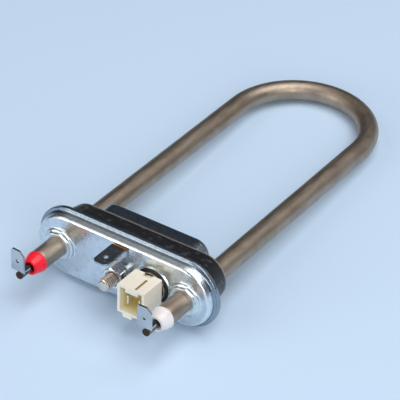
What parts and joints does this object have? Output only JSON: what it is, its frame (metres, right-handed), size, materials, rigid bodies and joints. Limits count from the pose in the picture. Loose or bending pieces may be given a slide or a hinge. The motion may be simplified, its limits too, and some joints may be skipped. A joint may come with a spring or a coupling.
{
  "type": "tubular heating element",
  "caption": "Hairpin tube on a drawn oblong flange, with a rubber seal, clamp plate, stud, push-on terminals and a plug-in temperature sensor; it heats water in a tub.",
  "frame": {"origin": "centre of the flange's seating plane, where it meets the wall of the tub", "axes": "+X along the flange towards the sensor's side, +Y from the seat along the legs to the bend, +Z across the flange on the earth tab's side"},
  "size_m": [0.0784, 0.1714, 0.0284],
  "materials": {
    "tube": "satin",
    "wire": "dull",
    "magnesia": "matte",
    "plated": "bright",
    "rubber": "matte",
    "grey_steel": "satin",
    "tab_plate": "bright",
    "can": "bright",
    "connector": "satin",
    "thermistor": "matte",
    "pin": "satin",
    "red_bead": "satin",
    "white_bead": "satin",
    "contact": "bright"
  },
  "bodies": {
    "root": {"bead_left": "red_bead", "bead_right": "white_bead", "clamp_plate": "plated", "connector_housing": "connector", "contact_left": "contact", "contact_right": "contact", "earth_tab": "tab_plate", "front_plate": "plated", "gasket": "rubber", "grommet": "rubber", "heating_tube": "tube", "lead_left": "contact", "lead_right": "contact", "magnesia_fill": "magnesia", "nut": "grey_steel", "resistance_coil": "wire", "sensor_can": "can", "stud": "grey_steel", "tab_left": "tab_plate", "tab_right": "tab_plate", "terminal_pin_left": "pin", "terminal_pin_right": "pin", "thermistor": "thermistor", "washer": "grey_steel"}
  },
  "joints": []
}
